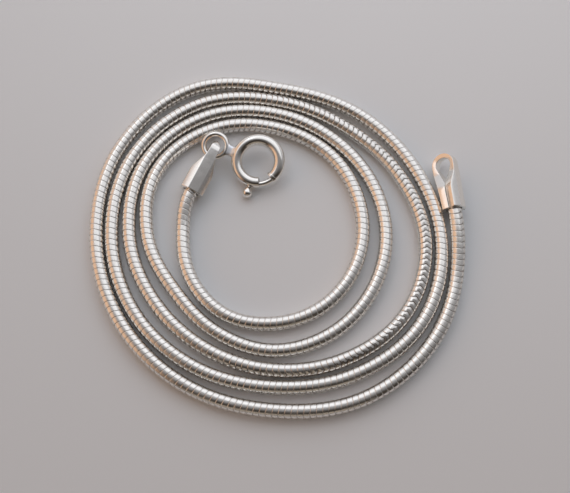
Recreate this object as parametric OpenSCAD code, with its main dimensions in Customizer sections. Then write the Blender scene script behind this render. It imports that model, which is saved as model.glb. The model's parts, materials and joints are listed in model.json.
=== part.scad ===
// Snake chain necklace lying in a flat coil, with a folded end cap on each end of the chain
// and a spring ring that is linked into one of them. All lengths are in millimetres.

/* [Chain] */
// Diameter of the chain
chain_d = 1.55; // [1.2:0.05:1.6]
// Length of chain that is held inside each end cap
chain_in_cap = 1.7; // [1:0.1:2.2]

/* [End caps] */
// Length of an end cap, from its mouth to the tip of its loop
cap_len = 6.5; // [6:0.1:8]
// Thickness of the mouth, across the two folded halves
cap_mouth_t = 2.26; // [2.1:0.02:2.5]
// Width of the mouth, along the seam between the halves
cap_mouth_w = 2.56; // [2.3:0.02:2.8]
// Thickness at the long edges of the mouth, beside the bevels
cap_side_t = 1.4; // [1.2:0.05:1.6]
// Width of the flat on each half, between its bevels
cap_flat_w = 1.16; // [1:0.02:1.4]
// Length of the full-width barrel, before it narrows to the strap
cap_barrel_len = 2.4; // [2:0.1:2.8]
// Distance from the mouth to where the strap has its narrow width
cap_neck_at = 4.3; // [3.6:0.1:4.6]
// Width of the strap at that place
strap_neck_w = 1.16; // [1:0.04:1.6]
// Width of the strap at the tip of the loop
strap_tip_w = 0.84; // [0.7:0.02:1.2]
// Outer width of the loop
loop_w = 2.65; // [2.4:0.05:3]
// Thickness of the strap at the sides of the loop
strap_t = 0.45; // [0.3:0.05:0.55]
// Thickness of the strap at the tip of the loop
tip_t = 0.5; // [0.3:0.05:0.7]
// Length of the teardrop opening in the loop
loop_open_len = 3; // [2.6:0.1:3.4]
// Depth of the bore that takes the chain
bore_depth = 2; // [1.4:0.1:2.6]
// Clearance around the chain in the bore
bore_fit = 0.02; // [0.01:0.01:0.06]
// Width of the seam between the two halves
seam_w = 0.06; // [0.04:0.01:0.12]
// Clearance of a cap over the surface
cap_lift = 0.02; // [0.01:0.01:0.1]

/* [Spring ring] */
// Outer diameter of the spring ring
ring_d = 6; // [5.5:0.1:7]
// Diameter of its tube
tube_d = 1.25; // [1.1:0.05:1.5]
// Wall of the tube
tube_wall = 0.125; // [0.1:0.005:0.16]
// Start of the opening, in degrees round the ring from the side away from the eye
gap_start = -66; // [-72:1:-60]
// End of the opening, in degrees
gap_end = -32; // [-36:1:-26]
// Height of the collar at the end of the opening over the tube
collar_rise = 0.07; // [0.04:0.01:0.12]
// Length of the collar, in degrees
collar_arc = 8; // [5:1:12]
// Distance between the middles of the ring and its eye
eye_reach = 5.1; // [5:0.05:5.4]
// Outer diameter of the eye
eye_d = 3.2; // [2.9:0.05:3.3]
// Wire of the eye
eye_wire = 0.6; // [0.5:0.02:0.7]
// Width of the solder web between the ring and the eye, at its narrowest
web_w = 1.2; // [0.9:0.05:1.3]
// Thickness of the solder web
web_t = 0.5; // [0.4:0.05:0.6]

/* [Bolt] */
// Wire of the sliding bolt
bolt_d = 0.62; // [0.5:0.02:0.66]
// Clearance between the bolt and the outer side of the bore
bolt_fit = 0.025; // [0.02:0.005:0.05]
// Length of the bolt inside the far end of the tube, in degrees
bolt_overlap = 7; // [4:1:10]
// Length of the bolt behind its knob, in degrees
bolt_tail = 32; // [20:1:40]
// Place of the knob, in degrees round the ring
knob_at = -88; // [-92:1:-86]
// Diameter of the knob
knob_d = 1.2; // [1:0.05:1.3]
// Clearance between the knob and the ring
knob_gap = 0.06; // [0.04:0.01:0.1]
// Diameter of the knob's stem inside the slot
stem_d = 0.4; // [0.3:0.02:0.46]
// Diameter of the stem where it meets the knob
stem_root_d = 0.66; // [0.5:0.02:0.8]
// Clearance of the stem in its slot
slot_fit = 0.04; // [0.03:0.01:0.08]
// Travel of the bolt, in degrees
bolt_travel = 42; // [40:1:44]

/* [Pose] */
// Roll of the linked cap about its own length, in degrees
clasp_cap_roll = 110; // [100:1:116]
// Roll of the free cap about its own length, in degrees
free_cap_roll = -41; // [-60:1:0]
// Rise of the linked cap from its mouth to its tip, in degrees
clasp_cap_rise = 2.6; // [2.4:0.1:6]
// Turn of the clasp on the surface, in degrees
clasp_turn = -20; // [-25:1:-14]
// Tilt of the clasp about the line through its eye, in degrees
clasp_tilt = 15.5; // [13:0.5:16]
// Height of the middle of the ring over the surface
clasp_height = 1.615; // [1.6:0.005:1.8]
// Distance from the tip of the linked cap's loop back to the wire of the eye
hook_from_tip = 1.8; // [1.7:0.05:1.9]

/* [Hidden] */
$fn = 64;

// Place of the coil's centre, so that the whole object is centred
coil_at = [-0.1, 0.01];

// The middle line of the chain: its distance from the centre of the coil. Each row is a turn
// and each column a step of 30 degrees, anticlockwise, and the first column is at 120 degrees.
route = [
    [9.9, 10.65, 10.1, 10.15, 10.05, 9.45, 9.1, 9, 9.3, 10.1, 11.4, 12.85],
    [14.6, 15.3, 13.95, 12.3, 12.1, 12.3, 12, 11.75, 11.85, 12.25, 13.1, 14.6],
    [16.35, 16.95, 15.9, 14.7, 14.15, 14.3, 15, 16, 16.1, 15.4, 15.2, 16.25],
    [18.1, 18.55, 17.8, 17.05, 16.35, 16.05, 16.85, 17.9, 17.85, 17.35, 17.4, 17.9],
    [20.25, 20.4, 19.45, 18.75, 18.35, 18.35, 19.4, 19.85, 19.55, 19.6]
];
route_start = 120;
route_step = 30;
// Angles at which the chain leaves the mouth of each cap
clasp_end = 153;
free_end = 1810.3;
// Stretch over which the chain comes down from a cap to the surface, in degrees
lift_arc = 25;
// Step between the cross-sections of the chain, in degrees, and the sides of each of them
section_step = 20;
sides = 8;
// Least angle between a mouth and the first section on the coil
section_clear = 5;
// How far the solder web reaches into the wall of the ring's tube
web_grip = 0.08;
// Radius of the notches that give the web its waist, and its width at the ends in waists
web_notch_r = 0.75;
web_flare = 1.8;

steps = [for (turn = route) each turn];
chain_r = chain_d / 2;
// A section has flats below and at both sides, so its corners stand outside the round chain
corner_r = chain_r / cos(180 / sides);
bore_d = 2 * (corner_r + bore_fit);
// Height of a mouth's middle over the surface, once the cap is rolled: the larger of its corners'.
// The level cap rests on the end of its barrel, which is thicker than its mouth.
mouth_corners = [[cap_mouth_w / 2, cap_side_t / 2], [cap_flat_w / 2, cap_mouth_t / 2]];
function mouth_height(roll, swell) =
    cap_lift
    + max([for (corner = mouth_corners) corner.x * abs(cos(roll)) + (corner.y + swell) * abs(sin(roll))]);
loop_r = loop_w / 2;

// Angle round a teardrop's tip at which its straight side leaves the round end
function tear_touch(start_x, start_half, mid_x, r) =
    atan2(start_half, start_x - mid_x) - acos(r / norm([mid_x - start_x, start_half]));

// Slope of a cap's outer faces, which rise from the mouth towards the loop
face_slope = tear_touch(0, cap_mouth_t / 2, cap_len - loop_r, loop_r) - 90;
clasp_mouth_z = mouth_height(clasp_cap_roll, 0);
free_mouth_z = mouth_height(free_cap_roll, cap_barrel_len * tan(face_slope));
opening_r = loop_r - strap_t;
opening_x = cap_len - tip_t - opening_r;
opening_tip = cap_len - tip_t - loop_open_len;
tube_r = tube_d / 2;
tube_mid = ring_d / 2 - tube_r;
tube_bore_r = tube_r - tube_wall;
eye_mid = (eye_d - eye_wire) / 2;
bolt_mid = tube_mid + tube_bore_r - bolt_fit - bolt_d / 2;
knob_mid = ring_d / 2 + knob_gap + knob_d / 2;
// Straight steps in the round end of a loop
arc_steps = 28;

function between(a, b, c, d, t) =
    0.5 * (2 * b + (c - a) * t + (2 * a - 5 * b + 4 * c - d) * t * t + (3 * b - a - 3 * c + d) * t * t * t);

// Distance from the centre of the coil at an angle, on a smooth curve through the route
function radius_at(angle) =
    let (
        place = (angle - route_start) / route_step,
        i = floor(place),
        last = len(steps) - 1
    )
    between(steps[max(i - 1, 0)], steps[i], steps[min(i + 1, last)], steps[min(i + 2, last)], place - i);

function ease(t) = let (u = min(max(t, 0), 1)) u * u * (3 - 2 * u);

// Height of the chain's middle: on the surface, but up to the mouth of a cap at either end
function height_at(angle) =
    chain_r
    + (clasp_mouth_z - chain_r) * ease(1 - (angle - clasp_end) / lift_arc)
    + (free_mouth_z - chain_r) * ease(1 - (free_end - angle) / lift_arc);

function route_at(angle, push = 1) =
    let (r = radius_at(angle) * push) [r * cos(angle), r * sin(angle), height_at(angle)];

function unit(v) = v / norm(v);

// Heading of a cap: the direction in which the chain runs into it
function heading(from, to) = let (v = route_at(to) - route_at(from)) atan2(v.y, v.x);
clasp_heading = heading(clasp_end + 1, clasp_end);
free_heading = heading(free_end - 1, free_end);

function along(head, rise, length) =
    [length * cos(head) * cos(rise), length * sin(head) * cos(rise), length * sin(rise)];

// The cross-sections' middles. Those on the coil stand a little outside the curve, so that the
// straight runs between them straddle it.
push_out = 1 / sqrt(cos(section_step / 2));
first_section = ceil((clasp_end + section_clear) / section_step) * section_step;
last_section = floor((free_end - section_clear) / section_step) * section_step;
path = concat(
    [route_at(clasp_end) + along(clasp_heading, clasp_cap_rise, chain_in_cap), route_at(clasp_end)],
    [for (angle = [first_section : section_step : last_section]) route_at(angle, push_out)],
    [route_at(free_end), route_at(free_end) + along(free_heading, 0, chain_in_cap)]
);

// The clasp hangs by the wire of its eye, which lies across the loop of the cap
hook = route_at(clasp_end) + along(clasp_heading, clasp_cap_rise, cap_len - hook_from_tip);
hook_side = clasp_heading + 180 - clasp_turn;
hook_local = [-eye_reach + eye_mid * cos(hook_side), eye_mid * sin(hook_side)];
clasp_at = [
    hook.x - hook_local.x * cos(clasp_turn) + hook_local.y * cos(clasp_tilt) * sin(clasp_turn),
    hook.y - hook_local.x * sin(clasp_turn) - hook_local.y * cos(clasp_tilt) * cos(clasp_turn),
    clasp_height
];

module silver() {
    color([0.80, 0.78, 0.75]) children();
}

// One closed tube: a polygon at each middle, set square to the bend there
module swept_tube(middles) {
    count = len(middles);
    ahead = [for (i = [0 : count - 2]) unit(middles[i + 1] - middles[i])];
    points = [
        for (i = [0 : count - 1])
            let (
                before = ahead[max(i - 1, 0)],
                after = ahead[min(i, count - 2)],
                way = unit(before + after),
                side = unit(cross(way, [0, 0, 1])),
                up = cross(side, way),
                mitre = 1 / (way * after)
            )
            for (k = [0 : sides - 1])
                let (a = 360 * (k + 0.5) / sides)
                middles[i] + side * corner_r * cos(a) * mitre + up * corner_r * sin(a)
    ];
    walls = [
        for (i = [0 : count - 2], k = [0 : sides - 1])
            let (
                a = i * sides + k,
                b = i * sides + (k + 1) % sides
            )
            each [[a, b, b + sides], [a, b + sides, a + sides]]
    ];
    start = [for (k = [sides - 1 : -1 : 0]) k];
    end = [for (k = [0 : sides - 1]) (count - 1) * sides + k];
    polyhedron(points, concat([start, end], walls));
}

module snake_chain() {
    silver() translate([coil_at.x, coil_at.y, 0]) swept_tube(path);
}

// A round tip with straight sides that run from it to a narrower end
module teardrop(start_x, start_half, mid_x, r) {
    touch = tear_touch(start_x, start_half, mid_x, r);
    polygon(concat(
        [[start_x, -start_half], [start_x, start_half]],
        [for (i = [0 : arc_steps])
            let (a = touch * (1 - 2 * i / arc_steps))
            [mid_x + r * cos(a), r * sin(a)]]
    ));
}

// Everything below the two bevels of one half of a cap, whose outer face rises along X
module under_bevels() {
    drop = (cap_mouth_t - cap_side_t) / (cap_mouth_w - cap_flat_w);
    ridge = cap_mouth_t / 2 + drop * cap_flat_w / 2;
    edge = ridge - drop * cap_mouth_w;
    rotate([0, 0, face_slope])
        translate([-1, 0, 0])
            rotate([90, 0, 90])
                linear_extrude(height = cap_len + 2)
                    polygon([
                        [-loop_w, -cap_mouth_w], [edge, -cap_mouth_w], [ridge, 0],
                        [edge, cap_mouth_w], [-loop_w, cap_mouth_w]
                    ]);
}

// A cap as a strap folded into a loop: the loop lies flat, the mouth is at the origin and the
// tip of the loop points along X
module end_cap() {
    difference() {
        intersection() {
            translate([0, 0, -cap_mouth_w])
                linear_extrude(height = 2 * cap_mouth_w)
                    teardrop(0, cap_mouth_t / 2, cap_len - loop_r, loop_r);
            rotate([90, 0, 0])
                translate([0, 0, -loop_w])
                    linear_extrude(height = 2 * loop_w)
                        polygon([
                            [0, -cap_mouth_w / 2], [cap_barrel_len, -cap_mouth_w / 2],
                            [cap_neck_at, -strap_neck_w / 2], [cap_len + 1, -strap_tip_w / 2],
                            [cap_len + 1, strap_tip_w / 2], [cap_neck_at, strap_neck_w / 2],
                            [cap_barrel_len, cap_mouth_w / 2], [0, cap_mouth_w / 2]
                        ]);
            under_bevels();
            mirror([0, 1, 0]) under_bevels();
        }
        translate([0, 0, -cap_mouth_w])
            linear_extrude(height = 2 * cap_mouth_w)
                teardrop(opening_tip, seam_w / 2, opening_x, opening_r);
        translate([-1, 0, 0]) rotate([0, 90, 0]) cylinder(d = bore_d, h = bore_depth + 1);
        translate([-1, -seam_w / 2, -cap_mouth_w])
            cube([opening_tip + 1.2, seam_w, 2 * cap_mouth_w]);
    }
}

module placed_cap(mouth, head, rise, roll) {
    translate([coil_at.x + mouth.x, coil_at.y + mouth.y, mouth.z])
        rotate([0, -rise, head])
            rotate([roll, 0, 0])
                end_cap();
}

module clasp_end_cap() {
    silver() placed_cap(route_at(clasp_end), clasp_heading, clasp_cap_rise, clasp_cap_roll);
}

module free_end_cap() {
    silver() placed_cap(route_at(free_end), free_heading, 0, free_cap_roll);
}

// A round bar bent about the origin, from one angle to another
module bent_bar(mid, r, from, to) {
    rotate([0, 0, from]) rotate_extrude(angle = to - from) translate([mid, 0]) circle(r = r);
}

// The web is waisted: its long sides are cut by two round notches
module solder_web() {
    inner = -eye_reach + eye_mid;
    outer = -ring_d / 2 + web_grip;
    end_half = web_flare * web_w / 2;
    translate([0, 0, -web_t / 2])
        linear_extrude(height = web_t)
            difference() {
                polygon([
                    [inner, -end_half], [outer, -end_half],
                    [outer, end_half], [inner, end_half]
                ]);
                for (side = [-1, 1])
                    translate([(-eye_reach + eye_d / 2 - ring_d / 2) / 2, side * (web_w / 2 + web_notch_r)])
                        circle(r = web_notch_r);
            }
}

// Ring, eye and solder web are one soldered piece: the tube is hollow and open at both ends,
// and its slot lets the stem of the knob travel
module clasp_body() {
    tube_end = 360 + gap_start;
    slot_half = asin((stem_d / 2 + slot_fit) / tube_mid);
    difference() {
        union() {
            bent_bar(tube_mid, tube_r, gap_end, tube_end);
            bent_bar(tube_mid, tube_r + collar_rise, gap_end, gap_end + collar_arc);
            solder_web();
        }
        rotate_extrude() translate([tube_mid, 0]) circle(r = tube_bore_r);
        rotate([0, 0, knob_at - bolt_travel - slot_half])
            rotate_extrude(angle = bolt_travel + 2 * slot_half)
                translate([tube_mid, -stem_d / 2 - slot_fit])
                    square([tube_d, stem_d + 2 * slot_fit]);
    }
    translate([-eye_reach, 0, 0])
        rotate_extrude() translate([eye_mid, 0]) circle(r = eye_wire / 2);
}

// The bolt is a bent wire with a knob on a short stem
module clasp_bolt() {
    union() {
        bent_bar(bolt_mid, bolt_d / 2, knob_at - bolt_tail, gap_end + bolt_overlap);
        rotate([0, 0, knob_at]) {
            rotate([0, 90, 0]) translate([0, 0, bolt_mid]) cylinder(d = stem_d, h = knob_mid - bolt_mid);
            rotate([0, 90, 0])
                translate([0, 0, ring_d / 2 + knob_gap])
                    cylinder(d1 = stem_d, d2 = stem_root_d, h = knob_d / 4);
            translate([knob_mid, 0, 0]) sphere(d = knob_d);
        }
    }
}

module placed_clasp() {
    translate([coil_at.x + clasp_at.x, coil_at.y + clasp_at.y, clasp_at.z])
        rotate([0, 0, clasp_turn])
            rotate([clasp_tilt, 0, 0])
                children();
}

module spring_ring() {
    silver() placed_clasp() clasp_body();
}

module bolt() {
    silver() placed_clasp() clasp_bolt();
}

snake_chain();
clasp_end_cap();
free_end_cap();
spring_ring();
bolt();
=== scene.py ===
"""Silver snake chain necklace in a flat coil: its bands, folded end caps and spring ring.

The packed model gives the places. Lengths in the named tables and in the shape functions are in
millimetres, and are turned to metres where a mesh is made.
"""
import json
import math
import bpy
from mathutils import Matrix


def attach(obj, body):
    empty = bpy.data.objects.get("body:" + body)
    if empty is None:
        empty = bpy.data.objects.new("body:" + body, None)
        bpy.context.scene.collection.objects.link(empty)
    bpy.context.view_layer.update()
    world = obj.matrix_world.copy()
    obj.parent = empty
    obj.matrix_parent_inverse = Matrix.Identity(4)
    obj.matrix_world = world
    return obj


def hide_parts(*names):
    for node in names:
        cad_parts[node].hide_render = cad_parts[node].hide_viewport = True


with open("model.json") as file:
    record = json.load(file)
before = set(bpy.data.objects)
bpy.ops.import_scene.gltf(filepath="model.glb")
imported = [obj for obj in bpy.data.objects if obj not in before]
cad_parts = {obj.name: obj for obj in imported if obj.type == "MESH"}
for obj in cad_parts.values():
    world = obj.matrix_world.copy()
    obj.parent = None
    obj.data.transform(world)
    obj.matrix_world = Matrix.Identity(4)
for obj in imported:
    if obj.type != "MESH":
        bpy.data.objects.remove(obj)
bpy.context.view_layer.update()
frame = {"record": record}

from types import SimpleNamespace

import bpy
import numpy as np
from bpy.props import FloatProperty, FloatVectorProperty, IntProperty, PointerProperty
from mathutils import Matrix, Vector

bl_info = {
    "name": "Snake chain necklace",
    "version": (1, 0, 0),
    "blender": (4, 5, 0),
    "location": "View3D > Sidebar > Necklace",
    "description": "Builds a coiled silver snake chain with its end caps and spring ring",
    "category": "Object",
}

MM = 0.001

# The photograph's frame, in pixels
PHOTO_WIDTH = 570

# The chain's middle line, as in the part's source: its distance from the coil's centre in
# millimetres, a row for each turn and a column for each 30 degrees, first column at 120 degrees
ROUTE = [
    [9.9, 10.65, 10.1, 10.15, 10.05, 9.45, 9.1, 9, 9.3, 10.1, 11.4, 12.85],
    [14.6, 15.3, 13.95, 12.3, 12.1, 12.3, 12, 11.75, 11.85, 12.25, 13.1, 14.6],
    [16.35, 16.95, 15.9, 14.7, 14.15, 14.3, 15, 16, 16.1, 15.4, 15.2, 16.25],
    [18.1, 18.55, 17.8, 17.05, 16.35, 16.05, 16.85, 17.9, 17.85, 17.35, 17.4, 17.9],
    [20.25, 20.4, 19.45, 18.75, 18.35, 18.35, 19.4, 19.85, 19.55, 19.6],
]
ROUTE_START = 120
ROUTE_STEP = 30
CLASP_END = 153
FREE_END = 1810.3
LIFT_ARC = 25
COIL_AT = (-0.1, 0.01)

# Height of the chain's middle at the mouth of each cap, and its length inside them
CLASP_MOUTH_Z = 1.28
FREE_MOUTH_Z = 1.505
CHAIN_IN_CAP = 1.7

# Roll of the caps about their length and the rise of the linked one, in degrees
CLASP_CAP_ROLL = 110
CLASP_CAP_RISE = 2.6
FREE_CAP_ROLL = -41

# Turn and tilt of the spring ring, in degrees; its middle is the opening's in the record
CLASP_TURN = -20
CLASP_TILT = 15.5
MOUNTS = {mount["name"]: mount for mount in frame["record"]["mounts"]}
CLASP_AT = np.array(MOUNTS["spring_ring_opening"]["pos_m"]) / MM

# Roll of the chain's seam from the top towards the outside of the coil, by angle along the route
SEAM_ROLL = {
    "angle": [150, 700, 960, 1050, 1110, 1230, 1500, 1740, 1800, 1830],
    "roll": [95, 80, 75, 5, 5, 80, 95, 90, 50, 45],
}


def shade(hex_colour):
    """An sRGB hex colour as linear red, green, blue and alpha."""
    srgb = np.array([int(hex_colour[i : i + 2], 16) for i in (0, 2, 4)]) / 255
    linear = np.where(srgb <= 0.04045, srgb / 12.92, ((srgb + 0.055) / 1.055) ** 2.4)
    return (*linear.tolist(), 1.0)


def length(name, text, value):
    """A length property, given in millimetres."""
    return FloatProperty(name=name, description=text, default=value * MM, unit="LENGTH", precision=5)


def angle(name, text, value):
    """An angle property, given in degrees."""
    return FloatProperty(name=name, description=text, default=math.radians(value), subtype="ANGLE")


def colour(name, text, hex_colour):
    """A colour property, given as an sRGB hex value."""
    return FloatVectorProperty(
        name=name, description=text, default=shade(hex_colour), subtype="COLOR", size=4, min=0, max=1
    )


class ChainSizes(bpy.types.PropertyGroup):
    """Sizes of the chain's bands"""

    diameter: length("Diameter", "Across the chain", 1.55)
    pitch: length("Pitch", "From band to band", 0.63)
    columns: IntProperty(name="Columns", description="Faces round the chain", default=30, min=12)


class CapSizes(bpy.types.PropertyGroup):
    """Sizes of a folded end cap"""

    total: length("Length", "From the mouth to the tip of the loop", 6.5)
    mouth_thickness: length("Mouth thickness", "Across the two halves at the mouth", 2.26)
    mouth_width: length("Mouth width", "Along the seam at the mouth", 2.56)
    side: length("Side", "Thickness at the long edges of the mouth, beside the bevels", 1.4)
    flat: length("Flat", "Width of the flat on each half, between its bevels", 1.16)
    barrel: length("Barrel", "Length before the cap narrows", 2.4)
    neck_at: length("Neck place", "From the mouth to the narrow strap", 4.3)
    neck_width: length("Neck width", "Width of the strap there", 1.16)
    tip_width: length("Tip width", "Width of the strap beyond the tip", 0.84)
    loop_width: length("Loop width", "Outer width of the loop", 2.65)
    strap: length("Strap", "Thickness at the sides of the loop", 0.45)
    tip: length("Tip", "Thickness at the tip of the loop", 0.5)
    opening: length("Opening", "Length of the teardrop opening", 3)
    bore: length("Bore", "Diameter of the bore for the chain", 1.7178)
    bore_depth: length("Bore depth", "Depth of that bore", 2)
    seam: length("Seam", "Gap between the two halves", 0.06)
    rounding: length("Rounding", "Worn edges", 0.045)


class ClaspSizes(bpy.types.PropertyGroup):
    """Sizes of the spring ring, its eye and its bolt"""

    ring: length("Ring", "Outer diameter of the ring", 6)
    tube: length("Tube", "Diameter of its tube", 1.25)
    wall: length("Wall", "Wall of the tube", 0.125)
    gap_start: angle("Gap start", "Start of the opening round the ring", -66)
    gap_end: angle("Gap end", "End of the opening", -32)
    collar_rise: length("Collar rise", "Height of the collar over the tube", 0.07)
    collar_arc: angle("Collar", "Length of the collar", 8)
    eye_reach: length("Eye reach", "From the ring's middle to the eye's", 5.1)
    eye: length("Eye", "Outer diameter of the eye", 3.2)
    eye_wire: length("Eye wire", "Wire of the eye", 0.6)
    web: length("Web", "Waist of the solder web", 1.2)
    web_thickness: length("Web thickness", "Thickness of the web at its waist", 0.5)
    notch: length("Notch", "Radius of the notches in the web", 0.75)
    bolt: length("Bolt", "Wire of the sliding bolt", 0.62)
    bolt_fit: length("Bolt fit", "Between the bolt and its bore", 0.025)
    bolt_overlap: angle("Bolt overlap", "Bolt inside the far end of the tube", 7)
    bolt_tail: angle("Bolt tail", "Bolt behind its knob", 32)
    bolt_travel: angle("Bolt travel", "Travel of the bolt", 42)
    knob_at: angle("Knob place", "Place of the knob round the ring", -88)
    knob: length("Knob", "Diameter of the knob", 1.2)
    knob_gap: length("Knob gap", "Between the knob and the ring", 0.06)
    slot: length("Slot", "Width of the slot for the stem", 0.48)


class SilverColours(bpy.types.PropertyGroup):
    """Colours of the silver"""

    polished: colour("Polished", "Polished silver", "F4F0EA")
    # Painted shade: the colour mixed into the chain's grooves to darken them
    painted_groove_shade: colour("Painted groove shade", "Painted shade in the grooves", "6E625A")
    solder: colour("Solder", "Solder of the web", "EEF2F8")


class StageSettings(bpy.types.PropertyGroup):
    """Camera and floor of the picture"""

    elevation: angle("Elevation", "Line of sight over the level", 72.7)
    turn: angle("Turn", "Turn of the picture in its own plane", 1.5)
    view_point: FloatVectorProperty(
        name="View point", description="Place of the camera", unit="LENGTH",
        default=(0.87 * MM, -25.96 * MM, 80.98 * MM),
    )
    focal_pixels: FloatProperty(
        name="Focal length", description="In widths of one pixel of the photograph", default=780
    )
    floor: colour("Floor", "Pale board under the necklace", "F6F7F8")


def in_mm(group):
    """The lengths of a property group in millimetres and its angles in degrees, by name."""
    values = {}
    for key, annotation in group.__annotations__.items():
        value = getattr(group, key)
        if annotation.keywords.get("unit") == "LENGTH":
            value = value / MM
        elif annotation.keywords.get("subtype") == "ANGLE":
            value = math.degrees(value)
        values[key] = value
    return SimpleNamespace(**values)


def ease(t):
    """3u^2 - 2u^3, where u is t held between 0 and 1."""
    u = np.clip(t, 0, 1)
    return u * u * (3 - 2 * u)


def unit(v):
    """Each vector over its length."""
    return v / np.linalg.norm(v, axis=-1, keepdims=True)


def turned(points, axis, degrees):
    """Points turned about an axis through the origin."""
    matrix = np.array(Matrix.Rotation(math.radians(degrees), 3, axis))
    return points @ matrix.T


def along(heading, rise):
    """The unit vector at a heading round Z and a rise over the level, both in degrees."""
    h, r = math.radians(heading), math.radians(rise)
    return np.array([math.cos(h) * math.cos(r), math.sin(h) * math.cos(r), math.sin(r)])


def round_corners(corners, reach, steps):
    """Closed outlines whose corners are rounded by short curves.

    corners is rows x corners x 2. Each corner c between its neighbours a and b becomes the curve
    (1-t)^2 p + 2t(1-t) c + t^2 q, where p and q lie on its two sides, reach away or at most 0.4
    of the side's length.
    """
    before = np.roll(corners, 1, axis=1) - corners
    after = np.roll(corners, -1, axis=1) - corners
    size_before = np.linalg.norm(before, axis=-1, keepdims=True)
    size_after = np.linalg.norm(after, axis=-1, keepdims=True)
    p = corners + before * np.minimum(reach / np.maximum(size_before, 1e-9), 0.4)
    q = corners + after * np.minimum(reach / np.maximum(size_after, 1e-9), 0.4)
    t = np.linspace(0, 1, steps)[:, None]
    p, c, q = p[:, :, None], corners[:, :, None], q[:, :, None]
    curve = (1 - t) ** 2 * p + 2 * t * (1 - t) * c + t**2 * q
    return curve.reshape(len(corners), -1, 2)


def grid_faces(rows, columns, wrap_rows=False):
    """Four-cornered faces of a grid of points stored row by row, each row a closed ring."""
    i = np.arange(rows if wrap_rows else rows - 1)[:, None]
    j = np.arange(columns)[None, :]
    a = i * columns + j
    b = i * columns + (j + 1) % columns
    c = (i + 1) % rows * columns + (j + 1) % columns
    d = (i + 1) % rows * columns + j
    return np.stack([a, b, c, d], -1)


def closed_grid(surface, poles=None):
    """Points and faces of a tube of rings: closed by two poles, or by one flat face at each end."""
    rows, columns = surface.shape[:2]
    points = surface.reshape(-1, 3)
    faces = grid_faces(rows, columns).reshape(-1, 4).tolist()
    ring = list(range(columns))
    last = [(rows - 1) * columns + j for j in ring]
    if poles is None:
        return points, faces + [ring[::-1], last]
    n = len(points)
    points = np.concatenate([points, np.asarray(poles, float).reshape(2, 3)])
    faces += [[n, (j + 1) % columns, j] for j in ring]
    faces += [[n + 1, last[j], last[(j + 1) % columns]] for j in ring]
    return points, faces


def joined(*shells):
    """Several closed shells, each a pair of points and faces, as one pair."""
    points, faces, start = [], [], 0
    for some_points, some_faces in shells:
        points.append(np.asarray(some_points))
        faces += [[corner + start for corner in face] for face in some_faces]
        start += len(some_points)
    return np.concatenate(points), faces


def volume(points, faces):
    """Six times the signed volume of a closed shell, from fans of its faces."""
    total = 0.0
    for size in {len(face) for face in faces}:
        same = points[np.array([face for face in faces if len(face) == size])]
        for k in range(1, size - 1):
            total += np.einsum("ij,ij->", same[:, 0], np.cross(same[:, k], same[:, k + 1]))
    return total


def facing_out(points, faces):
    """The same shell with its faces turned outward."""
    if volume(points - points.mean(0), faces) < 0:
        faces = [face[::-1] for face in faces]
    return points, faces


def make_piece(name, shell, body, node_name, material, smooth_under, attributes=None, uv=None):
    """A mesh object that rides on a body and stands for a CAD node.

    Edges where the faces turn by more than smooth_under degrees stay sharp. attributes maps a
    name to one number a point, and uv is two numbers a point.
    """
    points, faces = shell
    mesh = bpy.data.meshes.new(name)
    mesh.from_pydata((np.asarray(points) * MM).tolist(), [], faces)
    mesh.update()
    mesh.shade_smooth()
    mesh.set_sharp_from_angle(angle=math.radians(smooth_under))
    for key, values in (attributes or {}).items():
        layer = mesh.attributes.new(key, "FLOAT", "POINT")
        layer.data.foreach_set("value", np.asarray(values, np.float32).ravel())
    if uv is not None:
        corner = np.empty(len(mesh.loops), np.int32)
        mesh.loops.foreach_get("vertex_index", corner)
        layer = mesh.uv_layers.new(name="surface")
        layer.data.foreach_set("uv", np.asarray(uv, np.float32).reshape(-1, 2)[corner].ravel())
    mesh.materials.append(material)
    piece = bpy.data.objects.new(name, mesh)
    bpy.context.scene.collection.objects.link(piece)
    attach(piece, body)
    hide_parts(node_name)
    return piece


# Materials


def node(tree, kind, settings=None, **links):
    """Adds a node, sets its properties, and links or fills its inputs by name or by number."""
    made = tree.nodes.new(kind)
    for key, value in (settings or {}).items():
        setattr(made, key, value)
    for key, value in links.items():
        socket = made.inputs[int(key[1:]) if key[1:].isdigit() else key.replace("_", " ")]
        if isinstance(value, bpy.types.NodeSocket):
            tree.links.new(value, socket)
        else:
            socket.default_value = value
    return made


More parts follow.
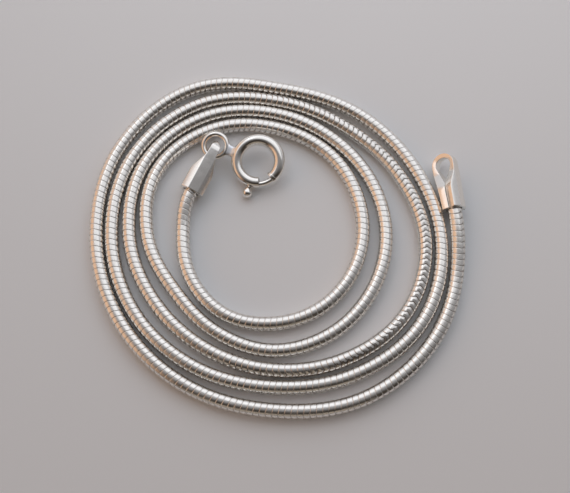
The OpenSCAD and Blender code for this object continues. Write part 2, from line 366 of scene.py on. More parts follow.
def silver(name, roughness, streaks, streak_height, painted_shade=None):
    """Polished sterling silver with fine marks that run along the piece.

    streaks is how often the marks repeat in the piece's own map, in 1/mm along and across,
    streak_height is theirs in millimetres, and the last argument names an attribute that darkens
    the metal's colour where shade is painted into the grooves.
    """
    if name in bpy.data.materials:
        return bpy.data.materials[name]
    colours = bpy.context.scene.silver_colours
    material = bpy.data.materials.new(name)
    material.use_nodes = True
    tree = material.node_tree
    shader = tree.nodes["Principled BSDF"]
    shader.inputs["Metallic"].default_value = 1
    place = node(tree, "ShaderNodeUVMap", {"uv_map": "surface"}).outputs["UV"]
    stretched = node(tree, "ShaderNodeMapping", Vector=place, Scale=(*streaks, 1)).outputs["Vector"]
    marks = node(tree, "ShaderNodeTexNoise", Vector=stretched, Scale=1.0, Detail=3.0, Roughness=0.6)
    bump = node(
        tree, "ShaderNodeBump", Height=marks.outputs[0], Distance=streak_height * MM, Strength=1.0
    )
    tree.links.new(bump.outputs[0], shader.inputs["Normal"])
    # Handling leaves the polish a little duller in soft patches about a millimetre across
    patches = node(tree, "ShaderNodeTexNoise", Vector=place, Scale=1.1, Detail=2.0)
    dull = node(
        tree, "ShaderNodeMapRange", Value=patches.outputs[0],
        i1=0.35, i2=0.7, i3=roughness * 0.75, i4=roughness * 1.35,
    )
    if painted_shade is None:
        shader.inputs["Base Color"].default_value = colours.polished
        tree.links.new(dull.outputs[0], shader.inputs["Roughness"])
        return material
    # Painted shade: the attribute darkens the colour towards the groove shade colour in the grooves
    amount = node(tree, "ShaderNodeAttribute", {"attribute_name": painted_shade}).outputs["Fac"]
    mixed = node(
        tree, "ShaderNodeMix", {"data_type": "RGBA"},
        i0=amount, i6=tuple(colours.polished), i7=tuple(colours.painted_groove_shade),
    )
    tree.links.new(mixed.outputs[2], shader.inputs["Base Color"])
    # Where shade is painted into the grooves, the metal is also rougher, so it is matte as well as dark
    rougher = node(
        tree, "ShaderNodeMath", {"operation": "MULTIPLY_ADD"}, i0=amount, i1=0.3, i2=dull.outputs[0]
    )
    tree.links.new(rougher.outputs[0], shader.inputs["Roughness"])
    return material


def soldered_silver():
    """Silver that is polished away from the solder and white and matte at it."""
    name = "soldered_silver"
    if name in bpy.data.materials:
        return bpy.data.materials[name]
    material = silver(name, 0.13, (0.5, 14), 0.0006)
    tree = material.node_tree
    shader = tree.nodes["Principled BSDF"]
    colours = bpy.context.scene.silver_colours
    amount = node(tree, "ShaderNodeAttribute", {"attribute_name": "solder"}).outputs["Fac"]
    mixed = node(
        tree, "ShaderNodeMix", {"data_type": "RGBA"},
        i0=amount, i6=tuple(colours.polished), i7=tuple(colours.solder),
    )
    tree.links.new(mixed.outputs[2], shader.inputs["Base Color"])
    polish = shader.inputs["Roughness"].links[0].from_socket
    matte = node(tree, "ShaderNodeMath", {"operation": "MULTIPLY_ADD"}, i0=amount, i1=0.28, i2=polish)
    tree.links.new(matte.outputs[0], shader.inputs["Roughness"])
    return material


# Chain


def route_radius(at):
    """Distance from the coil's centre: a smooth curve through the route, as in the part's source."""
    steps = np.concatenate(ROUTE)
    place = (np.asarray(at, float) - ROUTE_START) / ROUTE_STEP
    i = np.floor(place).astype(int)
    t = place - i
    last = len(steps) - 1
    a, b, c, d = (steps[np.clip(i + k, 0, last)] for k in (-1, 0, 1, 2))
    curve = 2 * b + (c - a) * t + (2 * a - 5 * b + 4 * c - d) * t**2 + (3 * b - a - 3 * c + d) * t**3
    return curve / 2


def route_at(at):
    """Points on the chain's middle line, which rises at both ends to the mouths of the caps."""
    at = np.asarray(at, float)
    r = route_radius(at)
    turn = np.radians(at)
    rest = bpy.context.scene.chain_sizes.diameter / MM / 2
    z = (
        rest
        + (CLASP_MOUTH_Z - rest) * ease(1 - (at - CLASP_END) / LIFT_ARC)
        + (FREE_MOUTH_Z - rest) * ease(1 - (FREE_END - at) / LIFT_ARC)
    )
    return np.stack([r * np.cos(turn) + COIL_AT[0], r * np.sin(turn) + COIL_AT[1], z], -1)


def heading(start, end):
    """Heading from one angle on the route to another, in degrees."""
    v = route_at(end) - route_at(start)
    return math.degrees(math.atan2(v[1], v[0]))


# Step of the middle line in degrees of the coil, the number of its points inside each cap, and
# how far in millimetres the one nearest to the mouth lies from it
LINE_STEP = 0.5
POINTS_IN_CAP = 8
NEAREST_IN_CAP = 0.2


def chain_line():
    """The chain's middle line in small steps: its points, the length up to each, and its angle."""
    at = np.arange(CLASP_END, FREE_END, LINE_STEP)
    curve = route_at(at)
    inside = np.linspace(CHAIN_IN_CAP, NEAREST_IN_CAP, POINTS_IN_CAP)[:, None]
    first = curve[0] + inside * along(heading(CLASP_END + 1, CLASP_END), CLASP_CAP_RISE)
    last = curve[-1] + inside[::-1] * along(heading(FREE_END - 1, FREE_END), 0)
    points = np.concatenate([first, curve, last])
    held = np.ones(POINTS_IN_CAP)
    angles = np.concatenate([held * at[0], at, held * at[-1]])
    steps = np.linalg.norm(np.diff(points, axis=0), axis=1)
    return points, np.concatenate([[0], np.cumsum(steps)]), angles


# Places of the rows of points on a band, as shares of the pitch: two of them bound its groove
BAND_ROWS = np.array([0, 0.09, 0.5, 0.91])
# Slant of the bands in pitches, and the share of it that runs three times round the chain
LEAN = 0.18
LEAN_WAVE = 0.2
# Length in pitches of the points at the seams, and the angle from a seam at which they fade
POINT = 0.45
POINT_FADE = 0.35
# Angle from a seam at which its deeper, wider grooves fade
SEAM_FADE = 0.5
# Depth of a groove, its half width, and the drop from a band's middle to its edge, in
# millimetres: away from the seams, and what a seam adds
GROOVE_DEPTH = (0.02, 0.062)
GROOVE_HALF_WIDTH = (0.075, 0.03)
BAND_DROP = (0.005, 0.025)
# Depth of a groove, in millimetres, at which the shade painted into it is full
PAINTED_SHADE_DEPTH = 0.06


def chain_shell(line, sizes):
    """The chain's bands as one closed shell, with how deep each point lies in a groove, which sets the
    shade painted there.

    A point is C + (R - d)(cos a * up + sin a * side) at the length (q + lean + vee) * pitch along
    the middle line, where q counts bands and a is the angle round the chain. With x the angle
    from a seam, lean = -L(cos x - w cos 3x) slants the bands, and vee = P exp(-|x| / f) draws each
    of them out to a point at the two seams. d is a groove's depth times (1 - e / h)^2, where e is
    the distance from its middle and h its half width, and the band's own drop times
    (1 - 2e / pitch)^2; both are larger near the seams.
    """
    points, lengths, angles = line
    bands = np.arange(int(lengths[-1] / sizes.pitch))
    q = np.concatenate([(bands[:, None] + BAND_ROWS).ravel(), [bands[-1] + 1]])
    turn = np.arange(sizes.columns) / sizes.columns * 2 * np.pi
    q, turn = np.meshgrid(q, turn, indexing="ij")
    route_angle = np.interp(q * sizes.pitch, lengths, angles)
    x = turn - np.radians(np.interp(route_angle, SEAM_ROLL["angle"], SEAM_ROLL["roll"]))
    near = np.angle(np.exp(2j * x)) / 2
    lean = -LEAN * (np.cos(x) - LEAN_WAVE * np.cos(3 * x))
    vee = POINT * np.exp(-np.abs(near) / POINT_FADE)
    s = np.clip((q + lean + vee) * sizes.pitch, 0, lengths[-1])
    seam = np.exp(-((near / SEAM_FADE) ** 2))
    depth, half_width, drop = (
        usual + added * seam for usual, added in (GROOVE_DEPTH, GROOVE_HALF_WIDTH, BAND_DROP)
    )
    edge = np.minimum(q % 1, 1 - q % 1) * sizes.pitch
    sunk = depth * np.clip(1 - edge / half_width, 0, 1) ** 2
    r = sizes.diameter / 2 - sunk - drop * (1 - np.clip(edge / (sizes.pitch / 2), 0, 1)) ** 2
    ahead = unit(np.gradient(points, lengths, axis=0))
    centre = np.stack([np.interp(s, lengths, points[:, a]) for a in range(3)], -1)
    way = unit(np.stack([np.interp(s, lengths, ahead[:, a]) for a in range(3)], -1))
    side = unit(np.cross(way, [0, 0, 1]))
    up = np.cross(side, way)
    surface = centre + r[..., None] * (np.cos(turn)[..., None] * up + np.sin(turn)[..., None] * side)
    shell = facing_out(*closed_grid(surface, [surface[0].mean(0), surface[-1].mean(0)]))
    # How much shade is painted at each point: more the deeper it lies in a groove
    groove = np.concatenate([np.minimum(sunk / PAINTED_SHADE_DEPTH, 1).ravel(), [1, 1]])
    uv = np.stack([s, turn * sizes.diameter / 2], -1).reshape(-1, 2)
    return shell, groove, np.concatenate([uv, uv[:2]])


class NECKLACE_OT_chain(bpy.types.Operator):
    """Builds the chain's bands"""

    bl_idname = "necklace.chain"
    bl_label = "Chain"

    def execute(self, context):
        # Rolled silver: a soft shine that runs on from band to band, with shade painted into the
        # grooves as thin browner lines between
        metal = silver("rolled_silver_bands", 0.23, (1.2, 9), 0.0012, painted_shade="groove")
        shell, groove, uv = chain_shell(chain_line(), in_mm(context.scene.chain_sizes))
        make_piece(
            "chain_bands", shell, "necklace", "snake_chain", metal,
            smooth_under=14, attributes={"groove": groove}, uv=uv,
        )
        return {"FINISHED"}


# End caps


def tear_half(x, start_x, start_half, mid_x, r):
    """Half width of a teardrop at x: a straight line from its start that touches a circle."""
    reach = math.hypot(mid_x - start_x, start_half)
    touch = math.atan2(start_half, start_x - mid_x) - math.acos(r / reach)
    touch_x = mid_x + r * math.cos(touch)
    slope = (r * math.sin(touch) - start_half) / (touch_x - start_x)
    line = start_half + (x - start_x) * slope
    circle = np.sqrt(np.clip(r**2 - (x - mid_x) ** 2, 0, None))
    return np.where(x < touch_x, line, circle), touch_x, touch


# How much the long edges of the strap dip towards its inner side, for each length across them
EDGE_DIP = 0.2
# The ridge at the tip: the angle from the tip at which it starts, the angle over which it forms,
# and its half width in millimetres
RIDGE_START = 75
RIDGE_TURN = 38
RIDGE_HALF = 0.05
# Radius of the worn rim of the mouth, in millimetres
RIM_ROUND = 0.05
# Rows of points from where the strap's line touches its circle to the tip
TIP_ROWS = 26
# The strap's narrowing is worked out at this many places and softened over this many of them
PLAN_STEPS = 1700
PLAN_SOFT = 100
# Row of points whose section gives the map its coordinate across the strap
MAP_ROW = 40
# Shares of the half width at which the inner side of a section has its points
INNER_SHARES = np.array([0.8, 0.671, 0.668, 0.655, 0.62, 0.56, 0.48, 0.38, 0.26, 0.13])


def cap_shell(c, pinch):
    """A cap as one strap folded into a loop, with its mouth at the origin and its tip along X.

    The strap's section is carried from the mouth of one half round the tip to the mouth of the
    other. At each place the section spans from N_in to N_out away from the middle plane, or from
    the loop's middle at the tip, and from -W to W across. Where it is wider than the flat, its
    outer edges are bevelled, and its corners are rounded. The inner side is the seam, the bore's
    arc sqrt(R^2 - z^2), or the teardrop opening. pinch, from 0 to 1, draws the outer face of the
    tip to a ridge.
    """
    loop_r = c.loop_width / 2
    mid_x = c.total - loop_r
    opening_r = loop_r - c.strap
    opening_mid = c.total - c.tip - opening_r
    opening_start = c.total - c.tip - c.opening
    _, touch_x, touch = tear_half(np.zeros(1), 0, c.mouth_thickness / 2, mid_x, loop_r)

    # Rows of points on the straight part, closer at the mouth, the bore's end and the opening
    rim = np.array([0, 0.02, RIM_ROUND])
    x = np.concatenate([
        rim,
        np.linspace(0.1, c.bore_depth - 0.03, 14),
        [c.bore_depth, c.bore_depth + 0.08],
        np.linspace(c.bore_depth + 0.2, opening_start - 0.08, 7),
        np.linspace(opening_start, touch_x - 0.06, 22),
    ])
    phi = np.linspace(touch, 0, TIP_ROWS)
    straight = len(x)
    far_x = mid_x + loop_r * np.cos(phi)
    all_x = np.concatenate([x, far_x])

    out = tear_half(x, 0, c.mouth_thickness / 2, mid_x, loop_r)[0]
    out = np.concatenate([out, np.full(TIP_ROWS, loop_r)])
    opened = tear_half(x, opening_start, c.seam / 2, opening_mid, opening_r)[0]
    inner = np.where(x < opening_start, c.seam / 2, opened)
    off = opening_mid - mid_x
    round_in = off * np.cos(phi) + np.sqrt(opening_r**2 - (off * np.sin(phi)) ** 2)
    inner = np.concatenate([inner, round_in])

    fine = np.linspace(-1, c.total + 1, PLAN_STEPS)
    plan = np.interp(
        fine, [0, c.barrel, c.neck_at, c.total + 1],
        [c.mouth_width / 2, c.mouth_width / 2, c.neck_width / 2, c.tip_width / 2],
    )
    kernel = np.hanning(2 * PLAN_SOFT + 1)
    soft = np.convolve(np.pad(plan, PLAN_SOFT, mode="edge"), kernel / kernel.sum(), "valid")
    wide = np.interp(all_x, fine, soft)

    slope = (c.mouth_thickness - c.side) / (c.mouth_width - c.flat)
    at_tip = ease((RIDGE_START - np.degrees(phi)) / RIDGE_TURN)
    ridge = pinch * np.concatenate([np.zeros(straight), at_tip])
    flat = np.minimum(c.flat / 2, wide - RIDGE_HALF) * (1 - ridge) + RIDGE_HALF * ridge
    drop = (wide - flat) * slope

    # The worn rim of the mouth
    shrink = np.zeros(len(all_x))
    shrink[: len(rim)] = RIM_ROUND - np.sqrt(RIM_ROUND**2 - (RIM_ROUND - rim) ** 2)
    out = out - shrink
    wide = wide - shrink

    bevel = out - drop
    inward = wide - EDGE_DIP * (bevel - inner)
    corners = np.stack([
        np.stack([inward, inner], -1), np.stack([wide, bevel], -1), np.stack([flat, out], -1),
        np.stack([-flat, out], -1), np.stack([-wide, bevel], -1), np.stack([-inward, inner], -1),
    ], 1)
    outline = round_corners(corners, c.rounding, 5)
    shares = np.concatenate([-INNER_SHARES, [0], INNER_SHARES[::-1]])
    z = wide[:, None] * shares
    bored = np.sqrt(np.clip((c.bore / 2) ** 2 - z**2, 0, None))
    depth = np.where(all_x < c.bore_depth - 0.001, 1.0, 0.0)[:, None]
    n = np.maximum(inner[:, None], bored * depth)
    section = np.concatenate([outline, np.stack([z, n], -1)], 1)

    base = np.concatenate([x, np.full(TIP_ROWS, mid_x)])[:, None]
    lean = np.concatenate([np.full(straight, np.pi / 2), phi])[:, None]
    half = np.stack([
        base + section[..., 1] * np.cos(lean), section[..., 1] * np.sin(lean), section[..., 0],
    ], -1)
    other = half[-2::-1] * [1, -1, 1]
    strap = np.concatenate([half, other])
    run = np.concatenate([x, touch_x + loop_r * (touch - phi)])
    run = np.concatenate([run, 2 * run[-1] - run[-2::-1]])
    across = np.diff(section[MAP_ROW], axis=0, prepend=section[MAP_ROW, :1])
    width = np.cumsum(np.linalg.norm(across, axis=1))
    uv = np.stack(np.broadcast_arrays(run[:, None], width[None, :]), -1)
    return facing_out(*closed_grid(strap)), uv.reshape(-1, 2)


def placed_cap(points, end, back, rise, roll):
    """A cap's points carried to the end of the chain."""
    mouth = route_at(end)
    moved = turned(points, "X", roll)
    moved = turned(moved, "Y", -rise)
    return turned(moved, "Z", heading(back, end)) + mouth


class NECKLACE_OT_end_caps(bpy.types.Operator):
    """Builds the two folded end caps"""

    bl_idname = "necklace.end_caps"
    bl_label = "End caps"

    def execute(self, context):
        sizes = in_mm(context.scene.cap_sizes)
        # Folded silver strip: flat, bright faces with faint streaks along the fold
        metal = silver("folded_silver_strip", 0.16, (0.7, 16), 0.0012)
        for name, end, back, rise, roll, pinch in (
            ("clasp_end_cap", CLASP_END, CLASP_END + 1, CLASP_CAP_RISE, CLASP_CAP_ROLL, 1),
            ("free_end_cap", FREE_END, FREE_END - 1, 0, FREE_CAP_ROLL, 0),
        ):
            (points, faces), uv = cap_shell(sizes, pinch)
            shell = (placed_cap(points, end, back, rise, roll), faces)
            make_piece(
                f"{name}_folded", shell, "necklace", name, metal, smooth_under=40, uv=uv
            )
        return {"FINISHED"}


# Spring ring


def placed_clasp(points):
    """Points of the spring ring's own plane carried to its place on the coil."""
    return turned(turned(points, "X", CLASP_TILT), "Z", CLASP_TURN) + CLASP_AT


def torus_points(mid, r, u, v):
    """Points of a bent tube: ((M + r cos v) cos u, (M + r cos v) sin u, r sin v), in degrees."""
    u, v = np.radians(u), np.radians(v)
    reach = mid + r * np.cos(v)
    return np.stack(np.broadcast_arrays(reach * np.cos(u), reach * np.sin(u), r * np.sin(v)), -1)


# Radius of the worn edges where the ring's tube is cut, in millimetres
CUT_ROUND = 0.035
# Faces across the slot for the knob's stem
SLOT_COLUMNS = 6


def hollow_ring(k):
    """The ring's tube: an outer and an inner wall over the same net of angles, joined at the ends.

    The outer radius is the tube's, with the collar's rise eased in over one degree, and it rounds
    off over the last bend degrees at each end. The slot leaves out the faces of both walls between
    its angles, and strips of faces along its edge join the two walls there.
    """
    mid = (k.ring - k.tube) / 2
    start, end = k.gap_end, 360 + k.gap_start
    slot_half = math.degrees(math.asin(k.slot / k.tube))
    stem_half = math.degrees(math.asin(k.slot / 2 / mid))
    slot_from = 360 + k.knob_at - k.bolt_travel - stem_half
    slot_to = 360 + k.knob_at + stem_half
    # Rows of points round the ring in degrees, closer at its cuts, the collar's edge and the slot
    bend = 0.8
    rim = np.array([0, 0.12, 0.35, bend])
    collar = start + k.collar_arc
    u = np.concatenate([
        start + rim, np.linspace(start + 1.6, collar - 0.8, 4),
        collar + np.array([-0.35, -0.1, 0.1, 0.6]),
        np.linspace(collar + 2, slot_from - 0.4, 66), np.linspace(slot_from, slot_to, 20),
        np.linspace(slot_to + 0.4, end - 1.6, 5), end - rim[::-1],
    ])
    outer = k.tube / 2 + k.collar_rise * (1 - ease((u - collar + 0.5) / 1.0))
    for edge in (start, end):
        away = np.clip(np.abs(u - edge) / bend, 0, 1)
        outer = outer - CUT_ROUND * (1 - np.sqrt(1 - (1 - away) ** 2))
    v = np.concatenate([
        np.linspace(-slot_half, slot_half, SLOT_COLUMNS + 1),
        np.linspace(slot_half, 360 - slot_half, 44)[1:-1],
    ])
    outside = torus_points(mid, outer[:, None], u[:, None], v[None, :])
    inside = torus_points(mid, k.tube / 2 - k.wall, u[:, None], v[None, :])
    rows, columns = outside.shape[:2]
    layer = rows * columns
    net = grid_faces(rows, columns)
    play = 0.01
    slot_rows = (u[:-1] >= slot_from - play) & (u[1:] <= slot_to + play)
    kept = net[~(slot_rows[:, None] & (np.arange(columns) < SLOT_COLUMNS))]
    ring = np.arange(columns)
    after = np.roll(ring, -1)
    first = np.stack([ring, ring + layer, after + layer, after], -1)
    shift = (rows - 1) * columns
    last = np.stack([ring, after, after + layer, ring + layer], -1) + shift
    row_a = int(np.argmax(u >= slot_from - play))
    row_b = int(np.argmax(u >= slot_to - play))
    loop = np.concatenate([
        row_a * columns + np.arange(0, SLOT_COLUMNS),
        np.arange(row_a, row_b) * columns + SLOT_COLUMNS,
        row_b * columns + np.arange(SLOT_COLUMNS, 0, -1),
        np.arange(row_b, row_a, -1) * columns,
    ])
    onward = np.roll(loop, -1)
    wall = np.stack([loop, onward, onward + layer, loop + layer], -1)
    faces = np.concatenate([kept, kept[:, ::-1] + layer, first, last, wall])
    points = np.concatenate([outside.reshape(-1, 3), inside.reshape(-1, 3)])
    map_radius = 0.6
    uv = np.stack(
        np.broadcast_arrays(np.radians(u)[:, None] * mid, np.radians(v)[None, :] * map_radius), -1
    )
    uv = np.concatenate([uv.reshape(-1, 2), uv.reshape(-1, 2)])
    return (points, faces.tolist()), uv


def eye_shell(k):
    """The eye: a round wire bent to a closed ring."""
    mid = (k.eye - k.eye_wire) / 2
    rows, columns = 96, 28
    u = np.linspace(0, 360, rows + 1)[:-1, None]
    v = np.linspace(0, 360, columns + 1)[None, :-1]
    points = torus_points(mid, k.eye_wire / 2, u, v)
    faces = grid_faces(rows, columns, wrap_rows=True).reshape(-1, 4)
    uv = np.stack(np.broadcast_arrays(np.radians(u) * mid, np.radians(v) * k.eye_wire / 2), -1)
    return (points.reshape(-1, 3) - [k.eye_reach, 0, 0], faces.tolist()), uv.reshape(-1, 2)


# How far the web reaches into the eye's wire and the ring's tube, and the half thickness that it
# gains at each of them, in millimetres
WEB_IN_EYE = 0.1
WEB_IN_RING = 0.18
SWELL_AT_EYE = 0.02
SWELL_AT_RING = 0.16


def web_shell(k):
    """The solder web between eye and ring, a waisted bar.

    At x its half width is w = waist + n - sqrt(n^2 - (x - m)^2), n the notch's radius, and its
    half thickness grows towards the tube as solder does. A section is the rounded oblong
    (w sgn(c)|c|^0.55, t sgn(s)|s|^0.7) of the angle's cosine c and sine s.
    """
    inner = -k.eye_reach + (k.eye - k.eye_wire) / 2 - WEB_IN_EYE
    outer = -k.ring / 2 + WEB_IN_RING
    middle = (-k.eye_reach + k.eye / 2 - k.ring / 2) / 2
    x = np.linspace(inner, outer, 30)
    # Held a little inside the notches' ends, where their sides stand upright
    away = np.clip(x - middle, -k.notch * 0.98, k.notch * 0.98)
    half = k.web / 2 + k.notch - np.sqrt(k.notch**2 - away**2)
    to_ring = SWELL_AT_RING * (away / (outer - middle)) ** 2
    to_eye = SWELL_AT_EYE * (away / (middle - inner)) ** 2
    swell = np.where(x > middle, to_ring, to_eye)
    thick = k.web_thickness / 2 + swell
    a = np.linspace(0, 2 * np.pi, 49)[:-1]
    c, s = np.cos(a), np.sin(a)
    y = half[:, None] * np.sign(c) * np.abs(c) ** 0.55
    z = thick[:, None] * np.sign(s) * np.abs(s) ** 0.7
    surface = np.stack([np.broadcast_to(x[:, None], y.shape), y, z], -1)
    uv = np.stack([surface[..., 0], y], -1).reshape(-1, 2)
    return facing_out(*closed_grid(surface)), uv


# The solder spreads from the web's middle: weights of the distance along, across and up, and
# the reach in millimetres whose multiples from 0.6 to 1.6 it fades over
SOLDER_WEIGHTS = (1.5, 0.8, 1)
SOLDER_REACH = 0.62
SOLDER_END = 1.6


class NECKLACE_OT_spring_ring(bpy.types.Operator):
    """Builds the spring ring with its eye and solder web"""

    bl_idname = "necklace.spring_ring"
    bl_label = "Spring ring"

    def execute(self, context):
        k = in_mm(context.scene.clasp_sizes)
        parts = [hollow_ring(k), eye_shell(k), web_shell(k)]
        points, faces = joined(*[shell for shell, uv in parts])
        uv = np.concatenate([uv for shell, uv in parts])
        web_at = [(-k.eye_reach + k.eye / 2 - k.ring / 2) / 2, 0, 0]
        reach = np.linalg.norm((points - web_at) * SOLDER_WEIGHTS, axis=1)
        solder = ease(SOLDER_END - reach / SOLDER_REACH)
        make_piece(
            "spring_ring_body", (placed_clasp(points), faces), "necklace", "spring_ring",
            soldered_silver(), smooth_under=40, attributes={"solder": solder}, uv=uv,
        )
        return {"FINISHED"}


# The knob's outline, as shares of its diameter: place along the stem from the ball's middle, and
# radius; it is pear-shaped, narrow at the ring
KNOB_OUTLINE = [
    [-0.93, 0.165], [-0.52, 0.17], [-0.47, 0.225], [-0.4, 0.285], [-0.3, 0.35], [-0.18, 0.435],
    [-0.05, 0.49], [0.08, 0.492], [0.2, 0.458], [0.3, 0.4], [0.38, 0.325], [0.44, 0.237],
    [0.48, 0.14], [0.497, 0.055],
]


def bolt_wire(k):
    """The bolt: a bent wire of radius w whose ends are half balls, at t from 0 to 1 of radius w t."""
    wire = k.bolt / 2
    mid = (k.ring - k.tube) / 2 + k.tube / 2 - k.wall - k.bolt_fit - wire
    start, end = k.knob_at - k.bolt_tail, k.gap_end + k.bolt_overlap
    cap = np.degrees(wire / mid)
    # The first ring of points at each end has 0.08 of the wire's radius, and a pole closes it
    t = np.linspace(0.08, 1, 6)
    round_end = cap * (1 - np.sqrt(1 - t**2))
    shaft = np.linspace(start + cap, end - cap, 34)[1:-1]
    u = np.concatenate([start + round_end, shaft, (end - round_end)[::-1]])
    r = np.concatenate([wire * t, np.full(len(shaft), wire), wire * t[::-1]])
    v = np.linspace(0, 360, 29)[None, :-1]
    surface = torus_points(mid, r[:, None], u[:, None], v)
    poles = torus_points(mid, 0.0, np.array([start, end]), np.zeros(2))
    uv = np.stack(np.broadcast_arrays(np.radians(u)[:, None] * mid, np.radians(v) * wire), -1)
    uv = uv.reshape(-1, 2)
    return facing_out(*closed_grid(surface, poles)), np.concatenate([uv, uv[:2]])


def knob_shell(k):
    """The knob: its outline, smoothed, turned about the stem."""
    ball_at = k.ring / 2 + k.knob_gap + k.knob / 2
    outline = np.array(KNOB_OUTLINE) * k.knob
    run = np.concatenate([[0], np.cumsum(np.linalg.norm(np.diff(outline, axis=0), axis=1))])
    fine = np.linspace(0, run[-1], 60)
    x = np.interp(fine, run, outline[:, 0])
    r = np.interp(fine, run, outline[:, 1])
    # A window of seven points softens the outline's corners
    kernel = np.hanning(9)[1:-1] / np.hanning(9).sum()
    x, r = (
        np.convolve(np.pad(line, 3, mode="reflect", reflect_type="odd"), kernel, "valid")
        for line in (x, r)
    )
    a = np.linspace(0, 2 * np.pi, 33)[None, :-1]
    surface = np.stack(
        np.broadcast_arrays(ball_at + x[:, None], r[:, None] * np.cos(a), r[:, None] * np.sin(a)), -1
    )
    poles = [[ball_at + x[0], 0, 0], [ball_at + k.knob / 2, 0, 0]]
    points, faces = facing_out(*closed_grid(surface, poles))
    uv = np.stack(np.broadcast_arrays(x[:, None], a * k.knob / 2), -1).reshape(-1, 2)
    return (turned(points, "Z", k.knob_at), faces), np.concatenate([uv, uv[:2]])


class NECKLACE_OT_bolt(bpy.types.Operator):
    """Builds the sliding bolt with its knob"""

    bl_idname = "necklace.bolt"
    bl_label = "Bolt"

    def execute(self, context):
        k = in_mm(context.scene.clasp_sizes)
        parts = [bolt_wire(k), knob_shell(k)]
        points, faces = joined(*[shell for shell, uv in parts])
        uv = np.concatenate([uv for shell, uv in parts])
        # Drawn silver wire, polished: the sharpest mirror of the piece
        metal = silver("polished_silver_wire", 0.12, (0.6, 12), 0.0006)
        make_piece(
            "bolt_with_knob", (placed_clasp(points), faces), "sliding_bolt", "bolt",
            metal, smooth_under=50, uv=uv,
        )
        return {"FINISHED"}


# Stage

# The lamps: middle and size in millimetres, tilt about X in degrees, radiance and colour
LAMPS = [
    ("softbox", (11, 84, 70), (138, 144), 0, 0.5, "F4F8FF"),
    ("key", (-120, 160, 260), (60, 60), -32, 1.2, "FFFFFF"),
    ("front_fill", (-20, -340, 108), (480, 150), 74, 0.36, "E8DAC8"),
]

# Direction of the warm wall on the left, and how far from it, as cosines, the warmth reaches
WARM_WAY = (-0.96, 0.04, 0.26)
WARM_REACH = (0.6, 0.94)
# Share of a direction that points to the back where the room starts to brighten and is brightest
BACK_REACH = (-0.5, 0.75)
WORLD_STRENGTH = 1.15
# Half the side of the floor, in metres
FLOOR_HALF = 1.5


def studio_world():
    """A dim room: brighter behind the object, brown and dark in front, warm on the left."""
    world = bpy.data.worlds.new("studio")
    world.use_nodes = True
    tree = world.node_tree
    way = node(tree, "ShaderNodeTexCoord").outputs["Generated"]
    parts = node(tree, "ShaderNodeSeparateXYZ", Vector=way).outputs
    back = node(
        tree, "ShaderNodeMapRange",
        Value=parts[1], i1=BACK_REACH[0], i2=BACK_REACH[1], i3=0.0, i4=1.0,
    ).outputs[0]
    tint = node(
        tree, "ShaderNodeMix", {"data_type": "RGBA"}, i0=back, i6=shade("36312D"), i7=shade("C4C5CA")
    ).outputs[2]
    nearness = node(
        tree, "ShaderNodeVectorMath", {"operation": "DOT_PRODUCT"}, i0=way, i1=WARM_WAY
    ).outputs[1]
    warmth = node(
        tree, "ShaderNodeMapRange", {"interpolation_type": "SMOOTHSTEP"},
        Value=nearness, i1=WARM_REACH[0], i2=WARM_REACH[1], i3=0.0, i4=1.0,
    ).outputs[0]
    room = node(
        tree, "ShaderNodeMix", {"data_type": "RGBA"}, i0=warmth, i6=tint, i7=shade("D9B498")
    ).outputs[2]
    background = tree.nodes["Background"]
    tree.links.new(room, background.inputs["Color"])
    background.inputs["Strength"].default_value = WORLD_STRENGTH
    return world


def add_lamp(name, at, size, tilt, radiance, hex_colour):
    """A soft rectangular lamp that faces the coil; power = radiance * pi * area."""
    lamp = bpy.data.lights.new(name, "AREA")
    lamp.shape = "RECTANGLE"
    lamp.size, lamp.size_y = size[0] * MM, size[1] * MM
    lamp.energy = radiance * math.pi * lamp.size * lamp.size_y
    lamp.color = shade(hex_colour)[:3]
    thing = bpy.data.objects.new(name, lamp)
    bpy.context.scene.collection.objects.link(thing)
    thing.location = Vector(at) * MM
    thing.rotation_euler.x = math.radians(tilt)
    thing.visible_camera = False


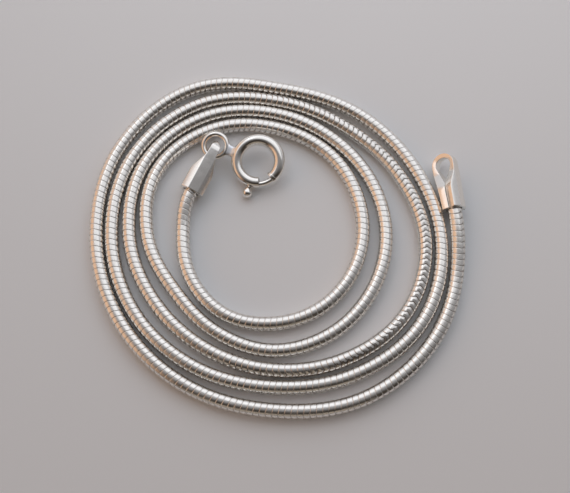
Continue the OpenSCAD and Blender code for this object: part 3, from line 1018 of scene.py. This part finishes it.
class NECKLACE_OT_stage(bpy.types.Operator):
    """Lays the floor and sets the lights and the camera"""

    bl_idname = "necklace.stage"
    bl_label = "Stage"

    def execute(self, context):
        scene = context.scene
        settings = scene.stage_settings
        mesh = bpy.data.meshes.new("floor")
        corners = [[x * FLOOR_HALF, y * FLOOR_HALF, 0] for x, y in ((-1, -1), (1, -1), (1, 1), (-1, 1))]
        mesh.from_pydata(corners, [], [[0, 1, 2, 3]])
        # Matt card: pale and plain, with no shine of its own
        board = bpy.data.materials.new("matt_board")
        board.use_nodes = True
        shader = board.node_tree.nodes["Principled BSDF"]
        shader.inputs["Base Color"].default_value = settings.floor
        shader.inputs["Roughness"].default_value = 0.95
        mesh.materials.append(board)
        floor = bpy.data.objects.new("floor", mesh)
        scene.collection.objects.link(floor)
        scene.world = studio_world()
        for lamp in LAMPS:
            add_lamp(*lamp)
        lens = bpy.data.cameras.new("camera")
        lens.sensor_width = 36
        lens.lens = settings.focal_pixels / PHOTO_WIDTH * lens.sensor_width
        lens.clip_start = 0.001
        camera = bpy.data.objects.new("camera", lens)
        scene.collection.objects.link(camera)
        camera.location = settings.view_point
        camera.rotation_mode = "QUATERNION"
        down = Matrix.Rotation(math.radians(90) - settings.elevation, 3, "X")
        camera.rotation_quaternion = (down @ Matrix.Rotation(settings.turn, 3, "Z")).to_quaternion()
        scene.camera = camera
        scene.view_settings.view_transform = "Standard"
        return {"FINISHED"}


GROUPS = (
    ("chain_sizes", ChainSizes), ("cap_sizes", CapSizes), ("clasp_sizes", ClaspSizes),
    ("silver_colours", SilverColours), ("stage_settings", StageSettings),
)
OPERATORS = (
    NECKLACE_OT_chain, NECKLACE_OT_end_caps, NECKLACE_OT_spring_ring, NECKLACE_OT_bolt,
    NECKLACE_OT_stage,
)


class NECKLACE_PT_build(bpy.types.Panel):
    """Lists the necklace's pieces and its stage"""

    bl_idname = "NECKLACE_PT_build"
    bl_label = "Necklace"
    bl_space_type = "VIEW_3D"
    bl_region_type = "UI"
    bl_category = "Necklace"

    def draw(self, context):
        for operator in OPERATORS:
            self.layout.operator(operator.bl_idname)
        for key, group in GROUPS:
            box = self.layout.box()
            box.label(text=group.__doc__)
            for name in group.__annotations__:
                box.prop(getattr(context.scene, key), name)


def register():
    for key, group in GROUPS:
        bpy.utils.register_class(group)
        setattr(bpy.types.Scene, key, PointerProperty(type=group))
    for one in (*OPERATORS, NECKLACE_PT_build):
        bpy.utils.register_class(one)


def unregister():
    for one in (NECKLACE_PT_build, *reversed(OPERATORS)):
        bpy.utils.unregister_class(one)
    for key, group in reversed(GROUPS):
        delattr(bpy.types.Scene, key)
        bpy.utils.unregister_class(group)


def main():
    register()
    bpy.ops.necklace.chain()
    bpy.ops.necklace.end_caps()
    bpy.ops.necklace.spring_ring()
    bpy.ops.necklace.bolt()
    bpy.ops.necklace.stage()


if __name__ == "__main__":
    main()
